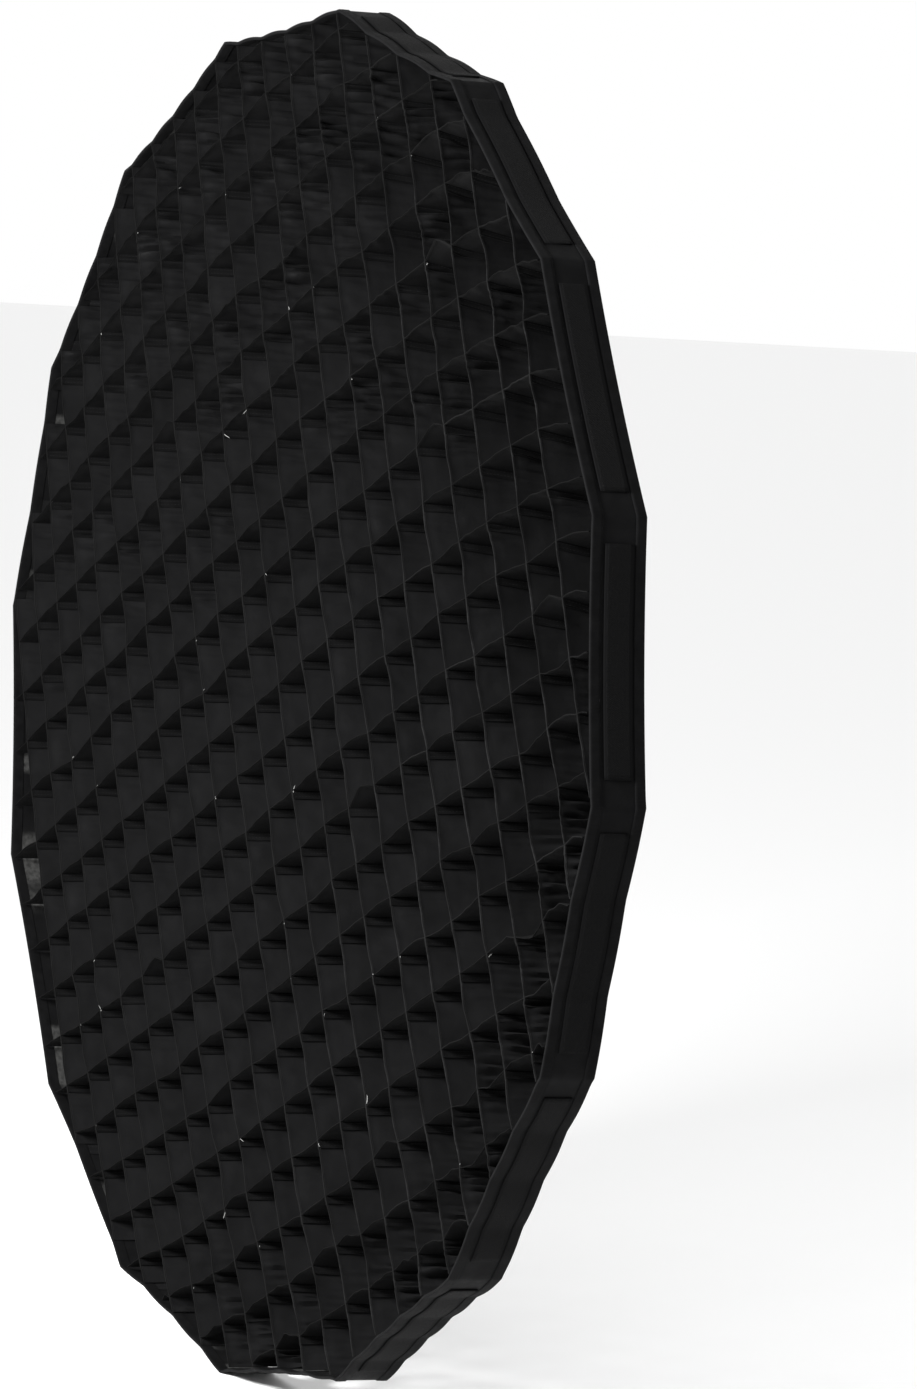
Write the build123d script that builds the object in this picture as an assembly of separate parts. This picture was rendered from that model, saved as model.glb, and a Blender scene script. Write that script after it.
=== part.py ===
"""Sixteen-sided fabric egg-crate grid for the mouth of a deep parabolic softbox.

Long cloth strips run from rim to rim on edge. Short cross panels stand between neighbouring strips, each with
its two ends folded down and sewn to the strips' faces. A band of doubled cloth closes the outer cells, with a
folded binding over its front and back edges and hook tape on the outside of every side.

Frame: origin at the grid's centre, the grid upright, its front facing -Y, +Z up, millimetres.
"""

import math
import os

from build123d import *

# Outline
SIDES = 16
CORNER_RADIUS = 600.0  # centre to a corner, outside the binding; one corner is straight up
DEPTH = 50.0  # front edge to back edge

# Cloth
CLOTH = 0.6  # coated nylon of the strips and cross panels
BAND_CLOTH = 1.2  # the rim's wall is doubled
BINDING = 0.8  # folded tape round the wall's front and back edges
BINDING_LEG = 10.0  # how far the tape reaches from the edge
TAPE_THICKNESS = 1.6
TAPE_WIDTH = 25.0
TAPE_LENGTH = 190.0
TAB = 8.0  # sewn end of a cross panel
END_TAB_LENGTH = 12.0  # sewn end of a strip, on the band
CLEARANCE = 0.3  # between sewn ends and the strips, which slide when the grid is gathered

# Cells
STRIP_PITCH = 51.0  # between strips at the middle
ROW_PITCH = 50.6  # between cross panels at the middle
FIRST_STRIP, LAST_STRIP = -11, 10  # numbered from the strip nearest the middle
FIRST_ROW, LAST_ROW = -12, 11
STRIP_OFFSET = 2.35
ROW_OFFSET = 14.25
ROW_RISE = 29.0  # degrees that a row of cross panels climbs to the right, seen from the front

# How the stretched cloth departs from a square lattice, in mm at the rim
LEAN = 12.5  # strips lean this much from square to the rows
SPREAD = 22.0  # strips draw apart towards the right
BOW = 31.0  # strips bow, most at the left
DROOP = 25.0  # rows droop, twice this at the right
SQUEEZE = 33.0  # rows draw together at both sides

NODE_MARGIN = 12.0  # a seam nearer the band than this has no folded end
SHORTEST_PANEL = 15.0
CUT_BACK = 3.0  # a cross panel's end at the band stops this far short of it, clear of the strips' ends

# The rim's layers, as distances from the centre to the middle of a side
FLAT_PER_CORNER = math.cos(math.pi / SIDES)
BINDING_OUTSIDE = CORNER_RADIUS * FLAT_PER_CORNER
BAND_OUTSIDE = BINDING_OUTSIDE - BINDING
BAND_INSIDE = BAND_OUTSIDE - BAND_CLOTH
BINDING_INSIDE = BAND_INSIDE - BINDING
CELLS_END = BINDING_INSIDE - CLEARANCE - CLOTH / 2

RISE = math.radians(ROW_RISE)
ALONG_ROWS = Vector(math.cos(RISE), 0, math.sin(RISE))
ALONG_STRIPS = Vector(-math.sin(RISE), 0, math.cos(RISE))
SIDE_ANGLES = [math.pi * (2 * side + 1) / SIDES for side in range(SIDES)]
SIDE_NORMALS = [Vector(math.cos(angle), 0, math.sin(angle)) for angle in SIDE_ANGLES]


def lattice(strip, row):
    """Where a strip and a row cross, in the middle plane. Whole numbers are seams."""
    u = strip * STRIP_PITCH + STRIP_OFFSET
    v = row * ROW_PITCH + ROW_OFFSET
    s, t = u / CORNER_RADIUS, v / CORNER_RADIUS
    across = u + LEAN * t + SPREAD * s**2 + BOW * t**2 * (1 - s)
    up = v - DROOP * s**2 * (1 + s) - SQUEEZE * s**2 * t
    return ALONG_ROWS * across + ALONG_STRIPS * up


def reach(point):
    """How far out a point lies, measured square to the side that it is nearest."""
    return max(point.dot(normal) for normal in SIDE_NORMALS)


def to_rim(inside, outside):
    """The point between the two where the cells end at the band."""
    shares = []
    for normal in SIDE_NORMALS:
        outward = (outside - inside).dot(normal)
        if outward > 0:
            shares.append((CELLS_END - inside.dot(normal)) / outward)
    return inside + (outside - inside) * min(shares)


def wall(outline, depth=DEPTH):
    """A closed outline of points in the middle plane, given the depth of the grid."""
    front = [point + Vector(0, -depth / 2, 0) for point in outline]
    return extrude(make_face(Polyline(*front, close=True)), amount=depth, dir=(0, 1, 0))


def ring(outside, inside, front, back):
    """A sixteen-sided tube between two distances from the centre."""
    start = Plane(origin=(0, front, 0), x_dir=(1, 0, 0), z_dir=(0, 1, 0))
    whole = RegularPolygon(outside, SIDES, major_radius=False)
    hole = RegularPolygon(inside, SIDES, major_radius=False)
    return extrude(start * (whole - hole), amount=back - front)


def square_to(direction):
    """Direction turned a quarter turn towards +X for one that points up."""
    return Vector(direction.Z, 0, -direction.X).normalized()


def strip_line(strip):
    """The strip's seams from the bottom of the rim to the top, with its two ends."""
    inside = [row for row in range(FIRST_ROW, LAST_ROW + 1) if reach(lattice(strip, row)) < CELLS_END - CLOTH]
    seams = [lattice(strip, row) for row in inside]
    bottom = to_rim(seams[0], lattice(strip, inside[0] - 1))
    top = to_rim(seams[-1], lattice(strip, inside[-1] + 1))
    return [bottom, *seams, top]


def strip_wall(strip):
    """One long strip. It is straight between seams and turns a little at each."""
    line = strip_line(strip)
    steps = [(after - before).normalized() for before, after in zip(line, line[1:])]
    at_points = [steps[0], *((a + b).normalized() for a, b in zip(steps, steps[1:])), steps[-1]]
    offsets = [square_to(direction) * (CLOTH / 2) for direction in at_points]
    right = [point + offset for point, offset in zip(line, offsets)]
    left = [point - offset for point, offset in zip(line, offsets)]
    return wall([*right, *reversed(left)])


def panel_end(seam, below, side):
    """The corners of a panel's folded end, from its tip to its outer top, against one face of a strip.

    side is 1 for the strip's right face and -1 for its left face.
    """
    down = (below - seam).normalized()
    out = square_to(-down) * side
    near = seam + out * (CLOTH / 2 + CLEARANCE)
    far = near + out * CLOTH
    under = down * (CLOTH / 2)
    if reach(seam) > CELLS_END - NODE_MARGIN:
        return [near + under, near - under]
    return [far + under, far + down * TAB, near + down * TAB, near - under]


def cut_end(seam, beyond):
    """The two corners of a panel's end just short of the band, lower one first."""
    along = (beyond - seam).normalized()
    end = to_rim(seam, beyond) - along * CUT_BACK
    up = -square_to(along)
    if up.Z < 0:
        up = -up
    return [end - up * (CLOTH / 2), end + up * (CLOTH / 2)]


def cross_panel(column, row):
    """A panel between two strips in one row, or from a strip to the band, or None where there is no room."""
    left, right = lattice(column, row), lattice(column + 1, row)
    has_left = column >= FIRST_STRIP and reach(left) < CELLS_END - CLOTH
    has_right = column + 1 <= LAST_STRIP and reach(right) < CELLS_END - CLOTH
    if not has_left and not has_right:
        return None
    if not has_right and (to_rim(left, right) - left).length < SHORTEST_PANEL:
        return None
    if not has_left and (to_rim(right, left) - right).length < SHORTEST_PANEL:
        return None
    left_end = panel_end(left, lattice(column, row - 1), 1) if has_left else cut_end(right, left)
    right_end = panel_end(right, lattice(column + 1, row - 1), -1) if has_right else cut_end(left, right)
    return wall([*left_end, *reversed(right_end)])


def column_panels(column):
    """All cross panels between two neighbouring strips."""
    panels = [cross_panel(column, row) for row in range(FIRST_ROW, LAST_ROW + 1)]
    return [panel for panel in panels if panel]


def strip_end_tabs():
    """The folded ends of the strips, flat on the inside of the band between its bindings."""
    tabs = []
    width = DEPTH - 2 * BINDING_LEG
    for strip in range(FIRST_STRIP, LAST_STRIP + 1):
        line = strip_line(strip)
        for end in (line[0], line[-1]):
            normal = max(SIDE_NORMALS, key=end.dot)
            middle_of_side = normal * CELLS_END
            along = (middle_of_side - end).normalized()
            foot = end + normal * (BINDING_INSIDE - end.dot(normal))
            tip = foot + along * END_TAB_LENGTH
            layer = normal * BINDING
            tabs.append(wall([foot, tip, tip + layer, foot + layer], width))
    return tabs


def perimeter_band():
    edge = DEPTH / 2 - BINDING
    return ring(BAND_OUTSIDE, BAND_INSIDE, -edge, edge)


def rim_binding(facing):
    """Tape folded round one edge of the band. facing is -1 for the front edge and 1 for the back edge."""
    edge = facing * DEPTH / 2
    leg = edge - facing * BINDING_LEG
    groove = edge - facing * BINDING
    whole = ring(BINDING_OUTSIDE, BINDING_INSIDE, min(edge, leg), max(edge, leg))
    return whole - ring(BAND_OUTSIDE, BAND_INSIDE, min(groove, leg), max(groove, leg))


def hook_tape():
    """One straight length of tape on the outside of every side."""
    lengths = []
    for normal in SIDE_NORMALS:
        along = square_to(normal) * (TAPE_LENGTH / 2)
        foot = normal * BAND_OUTSIDE
        layer = normal * TAPE_THICKNESS
        under = [foot - along, foot + along]
        over = [point + layer for point in reversed(under)]
        lengths.append(wall(under + over, TAPE_WIDTH))
    return lengths


def write(node, solids):
    """Writes one node, as a single solid or as a group of separate ones."""
    shape = solids[0] if len(solids) == 1 else Compound(children=solids)
    export_step(shape, f"parts/{node}.step")


os.makedirs("parts", exist_ok=True)
for number, strip_index in enumerate(range(FIRST_STRIP, LAST_STRIP + 1), start=1):
    write(f"strip_{number:02d}", [strip_wall(strip_index)])
for number, column_index in enumerate(range(FIRST_STRIP - 1, LAST_STRIP + 1), start=1):
    write(f"cross_panels_{number:02d}", column_panels(column_index))
write("strip_end_tabs", strip_end_tabs())
write("perimeter_band", [perimeter_band()])
write("front_binding", [rim_binding(-1)])
write("back_binding", [rim_binding(1)])
write("hook_tape", hook_tape())
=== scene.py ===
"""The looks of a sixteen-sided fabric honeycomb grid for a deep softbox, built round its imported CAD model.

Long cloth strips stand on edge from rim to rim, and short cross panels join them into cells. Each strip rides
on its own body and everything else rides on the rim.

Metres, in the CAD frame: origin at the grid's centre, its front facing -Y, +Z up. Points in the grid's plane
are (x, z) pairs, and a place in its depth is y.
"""

import math

import bmesh
import bpy
import numpy as np
from mathutils import Matrix, Vector


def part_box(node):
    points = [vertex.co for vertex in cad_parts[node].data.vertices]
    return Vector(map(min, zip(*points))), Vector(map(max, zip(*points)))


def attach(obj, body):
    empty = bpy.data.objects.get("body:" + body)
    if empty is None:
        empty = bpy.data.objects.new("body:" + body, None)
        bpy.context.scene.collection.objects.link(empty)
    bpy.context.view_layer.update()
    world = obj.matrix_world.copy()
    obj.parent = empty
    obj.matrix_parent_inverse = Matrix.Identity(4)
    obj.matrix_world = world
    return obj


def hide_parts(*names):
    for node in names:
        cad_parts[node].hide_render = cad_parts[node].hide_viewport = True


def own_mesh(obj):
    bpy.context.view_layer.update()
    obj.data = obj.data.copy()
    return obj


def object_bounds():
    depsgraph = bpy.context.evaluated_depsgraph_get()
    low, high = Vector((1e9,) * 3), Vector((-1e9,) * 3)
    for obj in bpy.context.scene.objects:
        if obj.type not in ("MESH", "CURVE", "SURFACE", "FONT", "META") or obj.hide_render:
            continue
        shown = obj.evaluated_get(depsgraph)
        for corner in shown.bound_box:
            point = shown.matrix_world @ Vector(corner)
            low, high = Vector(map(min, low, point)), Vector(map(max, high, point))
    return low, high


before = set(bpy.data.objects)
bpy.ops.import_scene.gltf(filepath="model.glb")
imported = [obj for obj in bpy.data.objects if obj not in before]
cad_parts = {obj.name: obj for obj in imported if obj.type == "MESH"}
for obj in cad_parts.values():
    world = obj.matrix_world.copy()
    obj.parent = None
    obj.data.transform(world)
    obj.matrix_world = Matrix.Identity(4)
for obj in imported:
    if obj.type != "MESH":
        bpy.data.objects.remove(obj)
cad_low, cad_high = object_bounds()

rng = np.random.default_rng(16)

# The grid's outline and depth
SIDES = 16
RADIUS = cad_high.z
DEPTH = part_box("strip_12")[1].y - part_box("strip_12")[0].y
FRONT = -DEPTH / 2

# The cells, as the CAD model lays them out
STRIP_PITCH, ROW_PITCH = 0.0510, 0.0506
FIRST_STRIP, LAST_STRIP = -11, 10
FIRST_ROW, LAST_ROW = -12, 11
MIDDLE_STRIP = 0
STRIP_OFFSET, ROW_OFFSET = 0.00235, 0.01425
ROW_RISE = math.radians(29.0)
CORNER_RADIUS = 0.6  # where the next five, the departures from a square lattice, are at their full size
LEAN, SPREAD, BOW, DROOP, SQUEEZE = 0.0125, 0.022, 0.031, 0.025, 0.033
NODE_MARGIN = 0.012
SHORTEST_PANEL = 0.015

# Cloth and tape
CLOTH = 0.0006
BAND_CLOTH = 0.0012
BINDING = 0.0008
BINDING_LEG = 0.010
TAPE_THICKNESS = 0.0016
TAPE_WIDTH = 0.025
TAPE_LENGTH = 0.190
TAB = 0.008
END_TAB_LENGTH = 0.012
CLEARANCE = 0.0003  # between the CAD model's sewn ends and its strips and band
TAB_GAP = CLOTH + CLEARANCE  # from a strip's middle to the middle of the cloth sewn on it
HEM = 0.0024  # width of the turned edge
HEM_ROUNDING = 0.0006
STITCH_PITCH = 0.0032
STITCH_SIZE = (0.0027, 0.0005, 0.0003)  # length, width and height

# Distances from the centre to the middle of a side
BAND_MIDDLE = RADIUS * math.cos(math.pi / SIDES) - BINDING - BAND_CLOTH / 2
BAND_INSIDE = BAND_MIDDLE - BAND_CLOTH / 2
CELLS_END = BAND_INSIDE - BINDING - CLEARANCE - CLOTH / 2
PANEL_CUT_BACK = 0.0012  # a panel's end at the band stops this far short of it

# How the stretched cloth gives
RIM_SAG = 0.004  # each side of the rim is drawn in this far between its corners
RIM_BULGE = 0.0022  # the band stands out this far between two sewn ends
BELLY = 0.0011  # how far a strip bellies between seams
CORNER_BELLY = 0.0010  # how far it bellies to the right in the upper right
CORNER_SHEAR = 0.005  # there, and where the rim is crushed, front edges stand this far right of back edges
CREASE = 0.0010  # depth of the creases under a seam
CREASE_REACH = 0.020
WOBBLE = 0.0014  # how far a strip strays from its line
KINK = 0.0009  # how far a seam strays from that line
STRIP_CRUMPLE = 0.0006
EDGE_STRAY = 0.0007  # how far a strip's edges stray forwards and backwards
CRUSHED_SHEAR = 1.6  # the shear where the rim is crushed, as a multiple of the corner's
SEAM_STRAY = 0.0016  # how far a seam strays from its place along the strip
PANEL_SAG = 0.0006
PANEL_TWIST = 0.0009
CORNER_TWIST = 0.0012  # in the upper right, the middles of front edges also rise this far above their ends
PANEL_CRUMPLE = 0.0006
PANEL_SKEW = 0.17  # in the upper right, front edges sit this share of a row above the back edges
FOLDED_PANELS = 0.03  # share of the panels that have a fold
FOLD_HEIGHT = 0.008
SEAM_ROWS = (0.0020, 0.0056)  # rows of stitches, below the seam
TAB_LIFT = 0.0009  # a sewn end's loose tip stands this far off the strip

# How finely the meshes are divided
STEPS_PER_CELL = 28
TAB_STEPS = (0.0080, 0.0073, 0.0065, 0.0056, 0.0047, 0.0038, 0.0029, 0.0020, 0.0006)
PANEL_STEPS = 12

# Directions of the rows and strips, and the rim's sides
ALONG_ROWS = np.array([math.cos(ROW_RISE), math.sin(ROW_RISE)])
ALONG_STRIPS = np.array([-math.sin(ROW_RISE), math.cos(ROW_RISE)])

SIDE_ANGLES = (2 * np.arange(SIDES) + 1) * math.pi / SIDES
SIDE_NORMALS = np.stack([np.cos(SIDE_ANGLES), np.sin(SIDE_ANGLES)], axis=-1)
HALF_SIDE = BAND_MIDDLE * math.tan(math.pi / SIDES)
RIM_LENGTH = 2 * HALF_SIDE * SIDES

STRIPS = range(FIRST_STRIP, LAST_STRIP + 1)
ROWS = range(FIRST_ROW, LAST_ROW + 1)


# ---------------------------------------------------------------- the lattice


def lattice(strip, row):
    """Where strips and rows cross, in the plane. Whole numbers are seams, and either may be an array."""
    strip, row = np.broadcast_arrays(np.asarray(strip, float), np.asarray(row, float))
    u = strip * STRIP_PITCH + STRIP_OFFSET
    v = row * ROW_PITCH + ROW_OFFSET
    s, t = u / CORNER_RADIUS, v / CORNER_RADIUS
    across = u + LEAN * t + SPREAD * s**2 + BOW * t**2 * (1 - s)
    up = v - DROOP * s**2 * (1 + s) - SQUEEZE * s**2 * t
    return across[..., None] * ALONG_ROWS + up[..., None] * ALONG_STRIPS


def reach(flat):
    """How far out points of the plane lie, square to the side that each is nearest."""
    return (flat @ SIDE_NORMALS.T).max(-1)


def quarter_turn(flat):
    """Directions in the plane turned a quarter turn towards +X from up."""
    return np.stack([flat[..., 1], -flat[..., 0]], axis=-1)


def unit(vectors):
    return vectors / np.maximum(np.linalg.norm(vectors, axis=-1, keepdims=True), 1e-12)


def draw_in(points):
    """Points of the grid once the cloth's pull has drawn in each side of the rim between its corners."""
    flat = points[..., [0, 2]]
    out = flat @ SIDE_NORMALS.T
    normal = SIDE_NORMALS[out.argmax(-1)]
    out = out.max(-1)
    share = np.abs((flat * quarter_turn(normal)).sum(-1)) / np.maximum(out * math.tan(math.pi / SIDES), 1e-6)
    pull = RIM_SAG * (1 - np.minimum(share, 1) ** 2) * (out / BAND_MIDDLE) ** 6
    drawn = points.copy()
    drawn[..., [0, 2]] -= normal * pull[..., None]
    return drawn


# ---------------------------------------------------------------- chance


def ripples(seed, shortest, longest, waves=9):
    """A smooth random function of two lengths, about -1 to 1, made of waves between two lengths."""
    chance = np.random.default_rng(seed)
    lengths = np.exp(chance.uniform(math.log(shortest), math.log(longest), waves))
    angles = chance.uniform(0, math.pi, waves)
    phases = chance.uniform(0, 2 * math.pi, waves)
    strengths = np.sqrt(lengths / longest)

    def height(a, b):
        total = 0
        for length, angle, phase, strength in zip(lengths, angles, phases, strengths):
            along = a * math.cos(angle) + b * math.sin(angle)
            total = total + strength * np.sin(2 * math.pi * along / length + phase)
        return total / np.sqrt((strengths**2).sum()) / 1.4

    return height


def between(value, low, high):
    """0 at low and 1 at high, with a smooth rise."""
    share = np.clip((value - low) / (high - low), 0, 1)
    return share * share * (3 - 2 * share)


def right_half(flat):
    """From 0 at the grid's left to 1 at its right."""
    return between(flat[..., 0], -0.35, 0.45)


def crushed_rim(flat):
    """1 along the lower right of the rim, where the cloth is crushed into folds, and 0 away from it."""
    near_rim = between(np.hypot(flat[..., 0], flat[..., 1]), 0.44, 0.54)
    return near_rim * between(flat[..., 0] - flat[..., 1], 0.3, 0.6)


def slack(flat):
    """How loose the cloth is: 1 at the bottom, and more towards the top and where it is crushed."""
    return 1 + 1.5 * between(flat[..., 1] - 0.25 * flat[..., 0], 0.0, 0.42) + 1.5 * crushed_rim(flat)


def upper_right(flat):
    """1 in the grid's upper right, where the cells are pulled out of shape, and 0 away from it."""
    return between(flat[..., 0] * 0.6 + flat[..., 1] * 0.8, 0.22, 0.5) * between(flat[..., 0], -0.05, 0.3)


# ---------------------------------------------------------------- the strips' surfaces

CELL_COUNT = LAST_ROW - FIRST_ROW + 4
strip_chances = {
    strip: {
        "front": rng.normal(0, 1, CELL_COUNT),
        "back": rng.normal(0, 1, CELL_COUNT),
        "creased": rng.uniform(0.2, 1.0, CELL_COUNT) ** 2 * 1.7,
        "crease": ripples(300 + strip, 0.0050, 0.010),
        "crumple": ripples(400 + strip, 0.012, 0.07),
        "edge": ripples(500 + strip, 0.03, 0.12),
        "line": ripples(600 + strip, 0.08, 0.26),
        "kink": rng.normal(0, 1, CELL_COUNT),
        "stray": rng.normal(0, 1, CELL_COUNT),
        "skew": rng.uniform(0.6, 1.4, CELL_COUNT),
    }
    for strip in STRIPS
}


def strip_surface(strip, rows, y):
    """A strip's middle surface and its right-facing directions in the plane. rows and y go together."""
    rows, y = np.broadcast_arrays(np.asarray(rows, float), np.asarray(y, float))
    chance = strip_chances[strip]
    flat = lattice(strip, rows)
    right = quarter_turn(unit(lattice(strip, rows + 0.01) - flat))
    cell = np.floor(rows).astype(int) - FIRST_ROW + 1
    share = rows - np.floor(rows)
    deep = (y - FRONT) / DEPTH
    under = (1 - share) * ROW_PITCH
    loose = slack(flat)
    inside = between(CELLS_END - reach(flat), 0, 0.08)
    belly = chance["front"][cell] * (1 - deep) + chance["back"][cell] * deep
    near_seam = np.exp(-((under / (CREASE_REACH * loose)) ** 2)) * between(under, 0, 0.004)
    fade = near_seam * between(share, 0, 0.15)
    give = (BELLY * belly * loose**0.5 + CORNER_BELLY * upper_right(flat)) * np.sin(math.pi * share) ** 1.5
    from_hem = between(DEPTH / 2 - np.abs(y), 0, 0.014)
    depth = CREASE * loose**1.4 * chance["creased"][cell] * (0.2 + 0.8 * from_hem)
    give = give + depth * fade * chance["crease"](rows * ROW_PITCH, y * 0.1)
    give = give + WOBBLE * chance["line"](rows * ROW_PITCH, y * 1.5) * inside
    give = give + KINK * (chance["kink"][cell] * (1 - share) + chance["kink"][cell + 1] * share) * inside
    give = give + STRIP_CRUMPLE * chance["crumple"](rows * ROW_PITCH, y) * np.sin(math.pi * share)
    sheared = upper_right(flat) + CRUSHED_SHEAR * crushed_rim(flat)
    give = give + CORNER_SHEAR * sheared * inside * (0.5 - deep)
    flat = flat + right * give[..., None]
    moved = y + EDGE_STRAY * chance["edge"](rows * ROW_PITCH, 0 * y) * np.cos(math.pi * deep)
    return np.stack([flat[..., 0], moved, flat[..., 1]], axis=-1), right


def beside(strip, rows, y, face, gap):
    """Points a gap away from a strip's middle surface, on its right face if face is 1 and its left if -1."""
    points, right = strip_surface(strip, rows, y)
    points[..., 0] += right[..., 0] * face * gap
    points[..., 2] += right[..., 1] * face * gap
    return points


def strip_ends(strip):
    """The row numbers at which a strip meets the band, at the bottom and at the top."""
    fine = np.linspace(FIRST_ROW - 1, LAST_ROW + 1, 8001)
    inside = fine[reach(lattice(strip, fine)) < CELLS_END]
    return inside[0], inside[-1]


def depth_steps():
    """Places across the cloth's depth, close together at both hems."""
    hem = [0, 0.0003, 0.0007, 0.0018, HEM, 0.0030]
    middle = np.linspace(0.007, DEPTH - 0.007, 8)
    return FRONT + np.array([*hem, *middle, *(DEPTH - value for value in reversed(hem))])


DEPTHS = depth_steps()


def hem_thickness(cloth):
    """The cloth's thickness at each place across its depth: more in the hems, rounded off at the edge."""
    edge = np.minimum(DEPTHS - FRONT, DEPTH + FRONT - DEPTHS)
    turned = between(edge, HEM + 0.0003, HEM - 0.0003)
    past_round = ((HEM_ROUNDING - edge) / HEM_ROUNDING).clip(0, 1)
    rounded = np.sqrt(np.clip(1 - past_round**2, 0.12, 1))
    return cloth * (1 + 0.7 * turned) * rounded


# ---------------------------------------------------------------- meshes


class Parts:
    """Points, faces, flat places on the cut cloth and pale edge marks (wear and painted highlight), gathered
    up for one mesh.
    """

    def __init__(self):
        self.points, self.faces, self.cut, self.wear_and_highlight = [], [], [], []
        self.count = 0

    def add(self, points, faces, cut, wear_and_highlight):
        self.points.append(points.reshape(-1, 3))
        self.faces.append(np.asarray(faces) + self.count)
        self.cut.append(cut.reshape(-1, 2))
        self.wear_and_highlight.append(np.broadcast_to(wear_and_highlight, cut.shape[:-1]).reshape(-1))
        self.count += len(self.points[-1])

    def mesh(self, name):
        points, faces = draw_in(np.concatenate(self.points)), np.concatenate(self.faces)
        made = bpy.data.meshes.new(name)
        made.from_pydata(points.tolist(), [], faces.tolist())
        cut = np.concatenate(self.cut)[faces.reshape(-1)]
        made.uv_layers.new(name="cut").data.foreach_set("uv", cut.astype(np.float32).reshape(-1))
        wear_and_highlight = made.attributes.new("wear_and_highlight", "FLOAT", "POINT")
        wear_and_highlight.data.foreach_set("value", np.concatenate(self.wear_and_highlight).astype(np.float32))
        made.polygons.foreach_set("use_smooth", np.ones(len(faces), bool))
        made.set_sharp_from_angle(angle=math.radians(48))
        made.validate()
        return made


def quads(rows, columns):
    """Faces of a grid of points."""
    corner = (np.arange(rows - 1)[:, None] * columns + np.arange(columns - 1)).reshape(-1)
    return np.stack([corner, corner + columns, corner + columns + 1, corner + 1], axis=-1)


def add_sheet(parts, middle, thickness, cut, wear_and_highlight):
    """Adds cloth of some thickness round a grid of points. It is closed along all four edges."""
    rows, columns = middle.shape[:2]
    normal = unit(np.cross(np.gradient(middle, axis=0), np.gradient(middle, axis=1)))
    half = normal * (np.broadcast_to(thickness, (rows, columns)) / 2)[..., None]
    points = np.concatenate([(middle + half).reshape(-1, 3), (middle - half).reshape(-1, 3)])
    face = quads(rows, columns)
    index = np.arange(rows * columns).reshape(rows, columns)
    edge = np.concatenate([index[0], index[1:, -1], index[-1, -2::-1], index[-2::-1, 0]])
    other = edge + rows * columns
    rim = np.stack([edge[:-1], edge[1:], other[1:], other[:-1]], axis=-1)
    faces = np.concatenate([face, face[:, ::-1] + rows * columns, rim[:, ::-1]])
    cut_on_both = np.concatenate([cut.reshape(-1, 2)] * 2)[None]
    wear_and_highlight_on_one = np.broadcast_to(wear_and_highlight, (rows, columns)).reshape(-1)
    parts.add(points, faces, cut_on_both, np.concatenate([wear_and_highlight_on_one] * 2)[None])


def add_stitches(parts, centres, along, out):
    """Adds one small lozenge of thread at each centre."""
    length, width, height = STITCH_SIZE
    end = along * length / 2
    edge = np.cross(out, along) * width / 2
    tips = [end, -end, edge, -edge, out * height, -out * height / 3]
    points = np.stack([centres + tip for tip in tips], axis=1)
    one = np.array([[0, 2, 4], [2, 1, 4], [1, 3, 4], [3, 0, 4], [2, 0, 5], [1, 2, 5], [3, 1, 5], [0, 3, 5]])
    faces = (np.arange(len(centres))[:, None, None] * 6 + one).reshape(-1, 3)
    cut = points[..., [1, 2]]
    parts.add(points, faces, cut, np.zeros(1))


def add_piece(name, mesh, body, material, replaces=()):
    """Makes a piece that rides on a body, in place of any CAD parts it replaces."""
    piece = bpy.data.objects.new(name, mesh)
    bpy.context.scene.collection.objects.link(piece)
    mesh.materials.append(material)
    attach(piece, body)
    if replaces:
        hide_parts(*replaces)
    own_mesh(piece)
    return piece


# ---------------------------------------------------------------- materials


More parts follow.
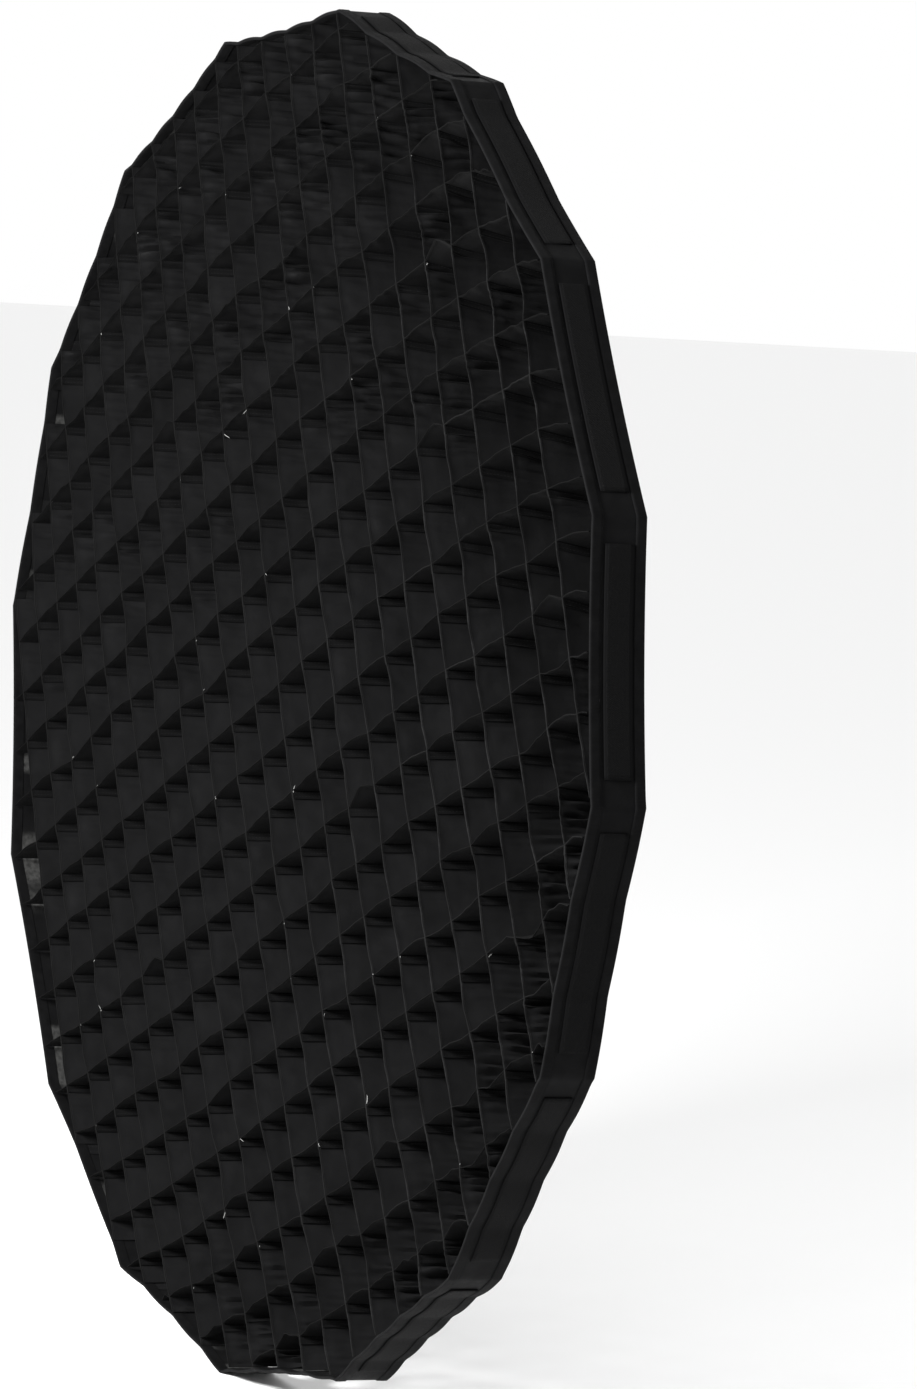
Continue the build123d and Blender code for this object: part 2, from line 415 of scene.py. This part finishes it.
class Recipe:
    """Builds one node material, with the flat place on the cut cloth as its coordinates."""

    def __init__(self, name):
        self.material = bpy.data.materials.new(name)
        self.material.use_nodes = True
        self.tree = self.material.node_tree
        self.shader = self.tree.nodes["Principled BSDF"]
        place = self.node("ShaderNodeUVMap", uv_map="cut").outputs["UV"]
        split = self.node("ShaderNodeSeparateXYZ", Vector=place)
        self.place, self.along, self.across = place, split.outputs["X"], split.outputs["Y"]

    def node(self, kind, **settings):
        made = self.tree.nodes.new(kind)
        for key, value in settings.items():
            if key in made.inputs:
                if isinstance(value, bpy.types.NodeSocket):
                    self.tree.links.new(value, made.inputs[key])
                else:
                    made.inputs[key].default_value = value
            else:
                setattr(made, key, value)
        return made

    def math(self, operation, first, second=0.0):
        made = self.tree.nodes.new("ShaderNodeMath")
        made.operation = operation
        for socket, value in zip(made.inputs, (first, second)):
            if isinstance(value, bpy.types.NodeSocket):
                self.tree.links.new(value, socket)
            else:
                socket.default_value = value
        return made.outputs["Value"]

    def wave(self, value, length):
        return self.math("SINE", self.math("MULTIPLY", value, 2 * math.pi / length))

    def noise(self, size, detail=3.0):
        made = self.node("ShaderNodeTexNoise", Vector=self.place, Scale=1 / size, Detail=detail)
        return made.outputs["Fac"]

    def ranged(self, value, low, high, to_low=0.0, to_high=1.0):
        made = self.node("ShaderNodeMapRange", Value=value)
        for key, number in (("From Min", low), ("From Max", high), ("To Min", to_low), ("To Max", to_high)):
            made.inputs[key].default_value = number
        return made.outputs["Result"]

    def mixed(self, share, first, second):
        made = self.tree.nodes.new("ShaderNodeMix")
        made.data_type = "RGBA"
        self.tree.links.new(share, made.inputs["Factor"])
        for key, value in (("A", first), ("B", second)):
            socket = next(s for s in made.inputs if s.name == key and s.type == "RGBA")
            if isinstance(value, bpy.types.NodeSocket):
                self.tree.links.new(value, socket)
            else:
                socket.default_value = (*value, 1)
        return next(s for s in made.outputs if s.type == "RGBA")

    def bump(self, height, distance, strength, below=None):
        made = self.node("ShaderNodeBump", Height=height, Distance=distance, Strength=strength)
        if below is not None:
            self.tree.links.new(below, made.inputs["Normal"])
        return made.outputs["Normal"]

    def finish(self, colour, roughness, normal, sheen, specular):
        self.tree.links.new(colour, self.shader.inputs["Base Color"])
        self.tree.links.new(roughness, self.shader.inputs["Roughness"])
        self.tree.links.new(normal, self.shader.inputs["Normal"])
        self.shader.inputs["Sheen Weight"].default_value = sheen
        self.shader.inputs["Sheen Roughness"].default_value = 0.4
        self.shader.inputs["Specular IOR Level"].default_value = specular
        return self.material


def nylon(name, dark, light, wear_and_highlight, rough, specular):
    """Coated black nylon: a fine weave, and dark turned edges, pale in places from wear and painted
    highlight, with stitches.
    """
    made = Recipe(name)
    thread = 0.0005
    tone = made.ranged(made.noise(0.021, 5.0), 0.3, 0.7)
    colour = made.mixed(tone, dark, light)
    # The pale marks are partly wear and partly painted highlight where light catches the edges.
    wear_and_highlight_field = made.node("ShaderNodeAttribute", attribute_name="wear_and_highlight").outputs["Fac"]
    rubbed_and_lit = made.math("MULTIPLY", wear_and_highlight_field, made.ranged(made.noise(0.004, 4.0), 0.28, 0.62, 0.25, 1.0))
    turned = made.ranged(made.across, 0.0016, 0.0008, 0.0, 0.92)
    colour = made.mixed(turned, colour, (0.001, 0.001, 0.001))
    colour = made.mixed(rubbed_and_lit, colour, wear_and_highlight)
    weave = made.math("MULTIPLY", made.wave(made.along, thread), made.wave(made.across, thread))
    normal = made.bump(made.noise(0.009, 4.0), 0.0007, 0.55)
    normal = made.bump(weave, 0.00006, 0.35, normal)
    line = made.ranged(made.math("ABSOLUTE", made.math("SUBTRACT", made.across, HEM * 0.75)), 0.0005, 0.0001)
    stitch = made.math("MULTIPLY", line, made.ranged(made.wave(made.along, STITCH_PITCH), -0.3, 0.3))
    normal = made.bump(stitch, 0.0003, 0.6, normal)
    roughness = made.ranged(made.noise(0.013, 3.0), 0.3, 0.7, rough - 0.07, rough + 0.07)
    roughness = made.math("ADD", roughness, made.math("MULTIPLY", turned, 0.2))
    return made.finish(colour, roughness, normal, 0.004, specular)


def ribbed_tape(name, dark, light, rib):
    """Narrow woven tape with ribs across it."""
    made = Recipe(name)
    colour = made.mixed(made.ranged(made.noise(0.012, 4.0), 0.3, 0.7), dark, light)
    ribs = made.wave(made.along, rib)
    weft = made.math("MULTIPLY", ribs, made.wave(made.across, 0.0007))
    normal = made.bump(ribs, 0.00018, 0.6)
    normal = made.bump(weft, 0.00008, 0.4, normal)
    roughness = made.ranged(made.noise(0.006, 3.0), 0.3, 0.7, 0.5, 0.68)
    return made.finish(colour, roughness, normal, 0.003, 0.02)


def hooks(name):
    """Fields of small stiff hooks on a woven ground, with a bare woven edge on both sides."""
    made = Recipe(name)
    rows = made.math("MULTIPLY", made.wave(made.along, 0.0016), made.wave(made.across, 0.0014))
    ridges = made.ranged(rows, -0.1, 0.7)
    clumps = made.ranged(made.noise(0.0018, 2.0), 0.25, 0.6)
    tufts = made.math("MULTIPLY", ridges, clumps)
    middle = made.math("ABSOLUTE", made.math("SUBTRACT", made.across, TAPE_WIDTH / 2))
    field = made.ranged(middle, TAPE_WIDTH / 2 - 0.0018, TAPE_WIDTH / 2 - 0.0026)
    height = made.math("MULTIPLY", tufts, field)
    colour = made.mixed(height, (0.0015, 0.0015, 0.0016), (0.006, 0.006, 0.0062))
    normal = made.bump(height, 0.0009, 0.9)
    normal = made.bump(made.wave(made.along, 0.0006), 0.00008, 0.4, normal)
    roughness = made.ranged(height, 0.0, 1.0, 0.72, 0.42)
    return made.finish(colour, roughness, normal, 0.004, 0.04)


def sewing_thread(name, dark, light):
    """Twisted polyester thread."""
    made = Recipe(name)
    twist = made.wave(made.math("ADD", made.along, made.across), 0.0005)
    colour = made.mixed(made.ranged(twist, -1.0, 1.0), dark, light)
    normal = made.bump(twist, 0.00006, 0.5)
    roughness = made.ranged(made.noise(0.002, 2.0), 0.3, 0.7, 0.4, 0.55)
    return made.finish(colour, roughness, normal, 0.01, 0.1)


strip_nylon = nylon(
    "strip_nylon",
    dark=(0.0049, 0.0049, 0.0051),
    light=(0.0068, 0.0068, 0.0070),
    wear_and_highlight=(0.010, 0.010, 0.0102),
    rough=0.5,
    specular=0.05,
)
# A darker copy of the strips' nylon: painted shade on the panels' undersides, which also darkens their sewn
# ends.
panel_nylon_painted_shade = nylon(
    "panel_nylon_painted_shade",
    dark=(0.0033, 0.0033, 0.0034),
    light=(0.0046, 0.0046, 0.0047),
    wear_and_highlight=(0.006, 0.006, 0.0061),
    rough=0.6,
    specular=0.03,
)
band_nylon = nylon(
    "band_nylon",
    dark=(0.003, 0.003, 0.0031),
    light=(0.005, 0.005, 0.0052),
    wear_and_highlight=(0.035, 0.035, 0.034),
    rough=0.55,
    specular=0.02,
)
tape_weave = ribbed_tape("binding_weave", (0.0028, 0.0028, 0.0029), (0.0048, 0.0048, 0.005), 0.0011)
hook_weave = hooks("hook_weave")
black_thread = sewing_thread("black_thread", (0.006, 0.006, 0.0063), (0.016, 0.016, 0.0165))
# Pale thread: partly real loose thread, partly painted glints of light at the seams.
pale_thread_and_glint = sewing_thread("pale_thread_and_glint", (0.12, 0.12, 0.12), (0.3, 0.3, 0.29))


# ---------------------------------------------------------------- strips


def strip_piece(number, strip):
    """One long strip from rim to rim, with its hems. Gives back the two places where it meets the band."""
    bottom, top = strip_ends(strip)
    first, last = math.ceil(bottom * STEPS_PER_CELL) + 1, math.floor(top * STEPS_PER_CELL)
    rows = np.array([bottom, *(np.arange(first, last) / STEPS_PER_CELL), top])
    middle, _ = strip_surface(strip, rows[:, None], DEPTHS)
    length = np.cumsum([0, *np.linalg.norm(np.diff(lattice(strip, rows), axis=0), axis=-1)])
    cut = np.stack(np.broadcast_arrays(length[:, None] + number * 1.7, DEPTHS - FRONT), axis=-1)
    share = rows - np.floor(rows)
    edge = DEPTHS - FRONT
    # Pale edge marks, partly wear and partly painted highlight: stronger to the right, where light catches
    # the hems, plus a painted glint just under each seam.
    wear_and_glint_variation = 0.5 + 0.5 * strip_chances[strip]["edge"](rows * ROW_PITCH * 1.7, 0.3 + 0 * rows)
    highlight_to_right = 0.06 + 0.94 * right_half(lattice(strip, rows)) ** 1.5
    wear_and_glint = highlight_to_right * np.clip(wear_and_glint_variation, 0.15, 1) + 0.2 * (share > 0.9)
    wear_and_highlight = wear_and_glint[:, None] * between(edge, 0.0017, 0.0008)
    parts = Parts()
    add_sheet(parts, middle, hem_thickness(CLOTH), cut, wear_and_highlight)
    node = f"strip_{number:02d}"
    body = node if strip != MIDDLE_STRIP else "rim"
    name, mesh = f"strip_cloth_{number:02d}", parts.mesh(node + "_cloth")
    piece = add_piece(name, mesh, body, strip_nylon, [node])
    return lattice(strip, bottom), lattice(strip, top)


# ---------------------------------------------------------------- cross panels


def seam_inside(strip, row):
    """True if this strip and row cross inside the rim."""
    return strip in STRIPS and reach(lattice(strip, row)) < CELLS_END - CLOTH


def at_band(seam, beyond):
    """Where a line from a seam towards a point beyond the rim ends, just short of the band."""
    outward = (beyond - seam) @ SIDE_NORMALS.T
    room = CELLS_END - seam @ SIDE_NORMALS.T
    share = min(room[i] / outward[i] for i in range(SIDES) if outward[i] > 0)
    return seam + (beyond - seam) * (share - PANEL_CUT_BACK / np.linalg.norm(beyond - seam))


def seam_rows(strip, row, y):
    """Row numbers along a seam, which strays a little. In the upper right it climbs towards the front."""
    flat = lattice(strip, row)
    inside = float(between(CELLS_END - reach(flat), 0, 0.05))
    chance = strip_chances[strip]
    stray = SEAM_STRAY / ROW_PITCH * chance["stray"][row - FIRST_ROW + 1] * inside
    skew = PANEL_SKEW * float(upper_right(flat)) * chance["skew"][row - FIRST_ROW + 1]
    return row + stray + skew * (0.5 - (y - FRONT) / DEPTH)


def tab_gap(below):
    """How far a sewn end is from the strip's middle. It puffs between its stitches and lifts at its tip."""
    puff = 0.00025 * np.sin(math.pi * (below - SEAM_ROWS[0]) / (SEAM_ROWS[1] - SEAM_ROWS[0])).clip(0, 1)
    return TAB_GAP + puff * (below < SEAM_ROWS[1]) + TAB_LIFT * between(below, SEAM_ROWS[1], TAB + 0.001)


def folded_end(strip, row, face):
    """A panel's sewn end, from its tip up to the seam, as a grid of points on one face of a strip."""
    below = np.array(TAB_STEPS)[:, None]
    rows = seam_rows(strip, row, DEPTHS)[None] - below / ROW_PITCH
    return beside(strip, rows, DEPTHS[None], face, tab_gap(below))


def panel_chance(flat):
    """How one panel hangs: its sag, twist and fold."""
    crushed = float(crushed_rim(flat))
    folded = rng.random() < FOLDED_PANELS + 0.12 * crushed
    return {
        "sag": rng.normal(0.6, 1) * PANEL_SAG * (1 + 2 * crushed),
        "s_bend": rng.normal(0, 1) * PANEL_SAG * 0.45,
        "twist": rng.normal(0, 1) * PANEL_TWIST * (1 + 2 * crushed)
        + CORNER_TWIST * float(upper_right(flat)),
        "fold": folded * rng.uniform(0.6, 1) * FOLD_HEIGHT,
        "fold_at": rng.uniform(0.4, 0.75),
        "crumple": ripples(int(rng.integers(1 << 30)), 0.012, 0.06, 6),
    }


def panel_rise(along, span, centre):
    """How far a panel stands above the flat surface between its ends: its sag, twist, fold and crumples."""
    deep = (DEPTHS - FRONT) / DEPTH
    chance = panel_chance(centre)
    loose = float(slack(centre))
    arch = np.sin(math.pi * along)
    kink = np.minimum(along / chance["fold_at"], (1 - along) / (1 - chance["fold_at"]))
    rise = chance["sag"] * arch + chance["s_bend"] * np.sin(2 * math.pi * along)
    rise = rise + chance["twist"] * arch * (1 - 2 * deep) + chance["fold"] * kink * (1 - 0.8 * deep)
    crumple = PANEL_CRUMPLE * loose * chance["crumple"](along * span, DEPTHS) * arch
    return rise * span / STRIP_PITCH + crumple


def cross_panel(column, row):
    """A panel's middle surface, its centre and whether each end is sewn, or None where it has no room."""
    left, right = lattice(column, row), lattice(column + 1, row)
    has_left, has_right = seam_inside(column, row), seam_inside(column + 1, row)
    if not has_left and not has_right:
        return None
    if not has_right:
        right = at_band(left, right)
    if not has_left:
        left = at_band(right, left)
    if np.linalg.norm(right - left) < SHORTEST_PANEL - PANEL_CUT_BACK:
        return None
    ends = []
    for has_seam, strip, flat, face in ((has_left, column, left, 1), (has_right, column + 1, right, -1)):
        if has_seam:
            ends.append(beside(strip, seam_rows(strip, row, DEPTHS), DEPTHS, face, TAB_GAP))
        else:
            ends.append(np.stack([flat[0] + 0 * DEPTHS, DEPTHS, flat[1] + 0 * DEPTHS], axis=-1))
    along = np.linspace(0, 1, PANEL_STEPS + 1)[:, None]
    middle = ends[0] * (1 - along[..., None]) + ends[1] * along[..., None]
    up = -quarter_turn(unit(right - left))
    rise = panel_rise(along, float(np.linalg.norm(right - left)), (left + right) / 2)
    middle[..., 0] += rise * up[0]
    middle[..., 2] += rise * up[1]
    sewn_left = has_left and reach(left) < CELLS_END - NODE_MARGIN
    sewn_right = has_right and reach(right) < CELLS_END - NODE_MARGIN
    if sewn_left:
        middle = np.concatenate([folded_end(column, row, 1), middle])
    if sewn_right:
        middle = np.concatenate([middle, folded_end(column + 1, row, -1)[::-1]])
    return middle, (left + right) / 2, sewn_left, sewn_right


def seam_stitches(parts, strip, row, face):
    """Two rows of stitches down the depth of a panel's sewn end."""
    y = np.arange(FRONT + 0.003, -FRONT - 0.002, STITCH_PITCH)
    for below in SEAM_ROWS:
        rows = seam_rows(strip, row, y) - (below + rng.normal(0, 0.0001)) / ROW_PITCH
        centres = beside(strip, rows, y, face, TAB_GAP + CLOTH / 2)
        _, right = strip_surface(strip, rows, y)
        out = np.stack([right[:, 0] * face, 0 * y, right[:, 1] * face], axis=-1)
        along = np.broadcast_to(np.array([0.0, 1.0, 0.0]), out.shape)
        add_stitches(parts, centres, along, out)


def panel_column(number, column):
    """All the cross panels between two neighbouring strips, with the thread that holds their ends."""
    parts, thread = Parts(), Parts()
    area, total, started = 0.0, 0.0, number * 1.3
    for row in ROWS:
        panel = cross_panel(column, row)
        if panel is None:
            continue
        middle, centre, sewn_left, sewn_right = panel
        steps = np.linalg.norm(np.diff(middle[:, len(DEPTHS) // 2], axis=0), axis=-1)
        across = np.cumsum([0, *steps])
        cut = np.stack(np.broadcast_arrays(started + across[:, None], DEPTHS - FRONT), axis=-1)
        # Pale front edges, partly wear and partly painted highlight: stronger to the right, where light
        # catches them.
        strength = (0.04 + 0.96 * float(right_half(centre)) ** 1.5) * rng.uniform(0.15, 1) ** 4
        wear_and_highlight = strength * between(DEPTHS - FRONT, 0.0017, 0.0008)
        add_sheet(parts, middle, hem_thickness(CLOTH), cut, wear_and_highlight[None])
        area += across[-1] * DEPTH
        total += across[-1]
        started += across[-1] + 0.01
        if sewn_left:
            seam_stitches(thread, column, row, 1)
        if sewn_right:
            seam_stitches(thread, column + 1, row, -1)
    node = f"cross_panels_{number:02d}"
    name, mesh = f"panel_cloth_{number:02d}", parts.mesh(node + "_cloth")
    piece = add_piece(name, mesh, "rim", panel_nylon_painted_shade, [node])
    if thread.count:
        name, mesh = f"seam_stitches_{number:02d}", thread.mesh(node + "_thread")
        add_piece(name, mesh, "rim", black_thread)


# ---------------------------------------------------------------- rim


def rim_place(flat):
    """How far round the rim points of the plane lie, from the corner at +X."""
    out = flat @ SIDE_NORMALS.T
    side = out.argmax(-1)
    along = -(flat * quarter_turn(SIDE_NORMALS[side])).sum(-1)
    return (2 * side + 1) * HALF_SIDE + along * BAND_MIDDLE / out.max(-1)


def rim_points(place, out, y, sewn):
    """Points round the rim, at distances out from the band's middle. It bulges between its sewn places."""
    sides_passed = np.floor(place / (2 * HALF_SIDE)).astype(int)
    along = place - (2 * sides_passed + 1) * HALF_SIDE
    side = sides_passed % SIDES
    turn = np.sign(along) * between(np.abs(along), HALF_SIDE - 0.008, HALF_SIDE) * math.pi / SIDES
    angle = SIDE_ANGLES[side] + turn
    normal = np.stack([np.cos(angle), np.sin(angle)], axis=-1)
    flat = SIDE_NORMALS[side] * BAND_MIDDLE - quarter_turn(SIDE_NORMALS[side]) * along[..., None]
    after = np.searchsorted(sewn, place % RIM_LENGTH) % len(sewn)
    gap = (sewn[after] - sewn[after - 1]) % RIM_LENGTH
    share = ((place - sewn[after - 1]) % RIM_LENGTH) / np.maximum(gap, 1e-6)
    bulge = np.minimum(RIM_BULGE, gap * 0.045) * np.sin(math.pi * share.clip(0, 1))
    flat = flat + normal * (out + bulge)[..., None]
    return np.stack([flat[..., 0], y + 0 * out, flat[..., 1]], axis=-1)


def add_swept(parts, section, place, sewn, wear_and_highlight=0.0):
    """Adds a closed outline of (out, y) points swept along the rim."""
    outline = np.array([*section, section[0]])
    around = np.cumsum([0, *np.linalg.norm(np.diff(outline, axis=0), axis=-1)])
    places, out = np.broadcast_arrays(place[:, None], outline[:, 0])
    y = np.broadcast_to(outline[:, 1], out.shape)
    points = rim_points(places, out, y, sewn)
    cut = np.stack(np.broadcast_arrays(place[:, None], around), axis=-1)
    parts.add(points, quads(len(place), len(outline))[:, ::-1], cut, wear_and_highlight)


def welded(mesh):
    """The mesh with its coincident points joined and its loose ends capped."""
    work = bmesh.new()
    work.from_mesh(mesh)
    bmesh.ops.remove_doubles(work, verts=work.verts, dist=2e-6)
    bmesh.ops.holes_fill(work, edges=work.edges, sides=0)
    bmesh.ops.recalc_face_normals(work, faces=work.faces)
    work.to_mesh(mesh)
    work.free()
    return mesh


def rounded_bar(out_low, out_high, y_low, y_high, steps):
    """The outline of a flat tape seen end on, with its long sides divided."""
    ys = np.linspace(y_low, y_high, steps)
    rows = [(out_high, y) for y in ys] + [((out_low + out_high) / 2, y_high + 0.0003)]
    return rows + [(out_low, y) for y in ys[::-1]] + [((out_low + out_high) / 2, y_low - 0.0003)]


def folded_tape(facing):
    """The outline of tape folded over the band's edge. facing is -1 for the front edge and 1 for the back."""
    thick, layer = BAND_CLOTH / 2 + BINDING, BAND_CLOTH / 2 + 0.00005
    from_edge = [BINDING_LEG, 0.0075, 0.0045, 0.0020, 0.0008, 0.0002, 0.0]
    across = [thick, thick, thick + 0.0001, thick, thick, thick * 0.65, 0.0]
    outside = [(a, b) for a, b in zip(across, from_edge)]
    outside += [(-a, b) for a, b in reversed(outside[:-1])]
    inside = [(-layer, BINDING_LEG), (-layer, 0.0009), (layer, 0.0009), (layer, BINDING_LEG)]
    return [(out, facing * (DEPTH / 2 - back)) for out, back in outside + inside]


def band_piece(sewn, all_round):
    """The doubled cloth of the rim, with light patches on its inside."""
    inner_edge = DEPTH / 2 - BINDING - 0.0003
    patches = between(ripples(700, 0.04, 0.12)(all_round, 0 * all_round), 0.35, 0.5)[:, None]
    section = rounded_bar(-BAND_CLOTH / 2, BAND_CLOTH / 2, -inner_edge, inner_edge, 9)
    is_inside = np.array([out < 0 for out, _ in [*section, section[0]]])
    band = Parts()
    add_swept(band, section, all_round, sewn, patches * is_inside)
    mesh = welded(band.mesh("perimeter_band_cloth"))
    piece = add_piece(
        "perimeter_band_cloth", mesh, "rim", band_nylon, ["perimeter_band"]
    )


def binding_piece(name, facing, sewn, all_round):
    """The tape folded over the band's front edge if facing is -1, and over its back edge if it is 1."""
    tape = Parts()
    add_swept(tape, folded_tape(facing), all_round, sewn)
    mesh = welded(tape.mesh(name + "_tape"))
    add_piece(name + "_tape", mesh, "rim", tape_weave, [name])


def hook_piece(sewn):
    """A length of hook tape on the outside of every side."""
    hook = Parts()
    low, high = BAND_CLOTH / 2, BAND_CLOTH / 2 + TAPE_THICKNESS
    for side in range(SIDES):
        centre = (2 * side + 1) * HALF_SIDE
        place = np.linspace(centre - TAPE_LENGTH / 2, centre + TAPE_LENGTH / 2, 40)
        add_swept(hook, rounded_bar(low, high, -TAPE_WIDTH / 2, TAPE_WIDTH / 2, 7), place, sewn)
    mesh = welded(hook.mesh("hook_tape_strips"))
    add_piece("hook_tape_strips", mesh, "rim", hook_weave, ["hook_tape"])


def end_tab_stitches(thread, start, heading, half, sewn):
    """Two rows of stitches that hold a strip's folded end to the band."""
    for step in (0.003, 0.009):
        at = np.full(8, start + heading * step)
        row = np.linspace(-half + 0.002, half - 0.002, 8)
        centres = rim_points(at, np.full(8, -BAND_CLOTH / 2 - CLOTH - 0.0001), row, sewn)
        inward = unit(centres * (-1.0, 0.0, -1.0))
        along = np.broadcast_to(np.array([0.0, 1.0, 0.0]), inward.shape)
        add_stitches(thread, centres, along, inward)


def end_tab_pieces(ends, sewn):
    """The strips' ends, each folded towards the middle of its side and sewn flat on the band's inside."""
    tabs, thread = Parts(), Parts()
    half = DEPTH / 2 - BINDING_LEG
    y = np.linspace(-half, half, 9)
    for start in rim_place(np.array(ends)):
        side_middle = (2 * math.floor(start / (2 * HALF_SIDE)) + 1) * HALF_SIDE
        heading = 1 if side_middle > start else -1
        place = start + heading * np.linspace(0.0004, END_TAB_LENGTH, 7)
        places, ys = np.meshgrid(place, y, indexing="ij")
        out = np.full(places.shape, -BAND_CLOTH / 2 - CLOTH / 2 - 0.0001)
        cut = np.stack([places + 3.0, ys + half], axis=-1)
        add_sheet(tabs, rim_points(places, out, ys, sewn), CLOTH, cut, np.zeros(1))
        end_tab_stitches(thread, start, heading, half, sewn)
    mesh = tabs.mesh("strip_end_tabs_cloth")
    piece = add_piece(
        "strip_end_tabs_cloth", mesh, "rim", strip_nylon, ["strip_end_tabs"]
    )
    mesh = thread.mesh("end_tab_stitches")
    stitches = add_piece("end_tab_stitches", mesh, "rim", black_thread)


def rim_pieces(ends):
    """The band, bindings, hook tape and sewn ends of the strips. ends are where strips meet the band."""
    sewn = np.sort(rim_place(np.array(ends)))
    all_round = np.linspace(0, RIM_LENGTH, SIDES * 44 + 1)
    band_piece(sewn, all_round)
    binding_piece("front_binding", -1, sewn, all_round)
    binding_piece("back_binding", 1, sewn, all_round)
    hook_piece(sewn)
    end_tab_pieces(ends, sewn)


# ---------------------------------------------------------------- loose thread ends and painted glints


def add_thread(parts, start, direction, length, curl):
    """Adds a thin curved thread with four sides."""
    radius, steps = 0.00028, 5
    side = unit(np.cross(direction, [0.31, 0.2, 0.93]))
    other = np.cross(direction, side)
    along = np.linspace(0, 1, steps)[:, None]
    line = start + direction * along * length + side * curl * (along**2) * length
    round_it = [side * radius, other * radius, -side * radius, -other * radius]
    points = np.stack([line + place for place in round_it], axis=1)
    points[-1] = line[-1]
    faces = [
        (4 * i + j, 4 * i + (j + 1) % 4, 4 * i + 4 + (j + 1) % 4, 4 * i + 4 + j)
        for i in range(steps - 1)
        for j in range(4)
    ]
    cut = np.stack(np.broadcast_arrays(along * length, np.arange(4) * radius), axis=-1)
    parts.add(points, faces, cut, np.zeros(1))


def thread_ends_and_glints():
    """Short pale ends of thread and bar tacks at some seams' front edges, standing partly for loose thread
    and partly for painted glints of light on the hems.
    """
    parts = Parts()
    for strip in STRIPS:
        for row in ROWS:
            draw = rng.random()
            tilt = rng.normal(0, 0.35, 3)
            size = rng.uniform(0.5, 1)
            if draw > 0.11 or reach(lattice(strip, row)) > CELLS_END - NODE_MARGIN:
                continue
            below = rng.uniform(-0.001, 0.005) / ROW_PITCH
            start = beside(strip, np.array(row - below), np.array(FRONT + 0.0006), 1, 0.0012)
            up = np.array([ALONG_STRIPS[0], -0.35, ALONG_STRIPS[1]])
            length = size * (0.0075 if draw < 0.03 else 0.0028)
            heading = unit(up * rng.choice([-1, 1]) * (1, -1, 1) + tilt)
            add_thread(parts, start, heading, length, rng.normal(0, 0.4))
    add_piece("thread_ends_and_glints", welded(parts.mesh("thread_ends_and_glints")), "rim", pale_thread_and_glint)


# ---------------------------------------------------------------- camera, light and stage

CAMERA_AZIMUTH, CAMERA_ELEVATION, CAMERA_ROLL = map(math.radians, (63.25, 6.78, 5.13))
CAMERA_DISTANCE = 6.51
CAMERA_AIM = Vector((0.069, 0.115, 0.017))
CAMERA_LENS = 193.7


def direction_to(azimuth, elevation):
    """From the grid towards a place seen at these angles: 0 is straight in front, and 90 degrees is at +X."""
    flat = math.cos(elevation)
    return Vector((math.sin(azimuth) * flat, -math.cos(azimuth) * flat, math.sin(elevation)))


def look(thing, place, aim, roll=0.0):
    """Puts a camera or lamp at a place, facing the aim."""
    turn = (aim - place).to_track_quat("-Z", "Y").to_matrix().to_4x4()
    thing.matrix_world = Matrix.Translation(place) @ turn @ Matrix.Rotation(roll, 4, "Z")


def add_camera():
    data = bpy.data.cameras.new("camera")
    data.lens = CAMERA_LENS
    data.sensor_width = 36.0
    data.clip_end = 60.0
    camera = bpy.data.objects.new("camera", data)
    bpy.context.scene.collection.objects.link(camera)
    place = CAMERA_AIM + direction_to(CAMERA_AZIMUTH, CAMERA_ELEVATION) * CAMERA_DISTANCE
    look(camera, place, CAMERA_AIM, CAMERA_ROLL)
    bpy.context.scene.camera = camera


def add_lamp(name, azimuth, elevation, distance, size, power):
    """A square soft lamp, facing the grid's centre."""
    data = bpy.data.lights.new(name, "AREA")
    data.size = size
    data.energy = power
    lamp = bpy.data.objects.new(name, data)
    lamp.visible_camera = False
    bpy.context.scene.collection.objects.link(lamp)
    look(lamp, direction_to(math.radians(azimuth), math.radians(elevation)) * distance, Vector((0, 0, 0)))


def add_world():
    """A plain white surround."""
    world = bpy.data.worlds.new("surround")
    bpy.context.scene.world = world
    world.use_nodes = True
    background = world.node_tree.nodes["Background"]
    background.inputs["Color"].default_value = (1, 1, 1, 1)
    background.inputs["Strength"].default_value = 1.0


def add_floor(height):
    """A plain pale floor, faintly uneven in tone."""
    mesh = bpy.data.meshes.new("floor")
    size = 12.0
    corners = [(-size, -size), (size, -size), (size, size), (-size, size)]
    mesh.from_pydata([(x, y, height) for x, y in corners], [], [(0, 1, 2, 3)])
    floor = bpy.data.objects.new("floor", mesh)
    bpy.context.scene.collection.objects.link(floor)
    material = bpy.data.materials.new("pale_floor")
    material.use_nodes = True
    nodes, links = material.node_tree.nodes, material.node_tree.links
    noise = nodes.new("ShaderNodeTexNoise")
    noise.inputs["Scale"].default_value = 1.5
    ramp = nodes.new("ShaderNodeValToRGB")
    ramp.color_ramp.elements[0].color = (0.86, 0.86, 0.86, 1)
    ramp.color_ramp.elements[1].color = (0.90, 0.90, 0.90, 1)
    links.new(noise.outputs["Fac"], ramp.inputs["Fac"])
    links.new(ramp.outputs["Color"], nodes["Principled BSDF"].inputs["Base Color"])
    nodes["Principled BSDF"].inputs["Roughness"].default_value = 0.8
    mesh.materials.append(material)


# ---------------------------------------------------------------- the scene

add_camera()
add_world()
add_lamp("key", azimuth=21, elevation=19, distance=1.8, size=0.6, power=128)
bpy.context.scene.view_settings.view_transform = "Standard"
add_floor(cad_low.z - 0.001)

band_ends = []
for strip_number, strip_index in enumerate(STRIPS, start=1):
    band_ends += strip_piece(strip_number, strip_index)
for column_number, column_index in enumerate(range(FIRST_STRIP - 1, LAST_STRIP + 1), start=1):
    panel_column(column_number, column_index)
rim_pieces(band_ends)
thread_ends_and_glints()
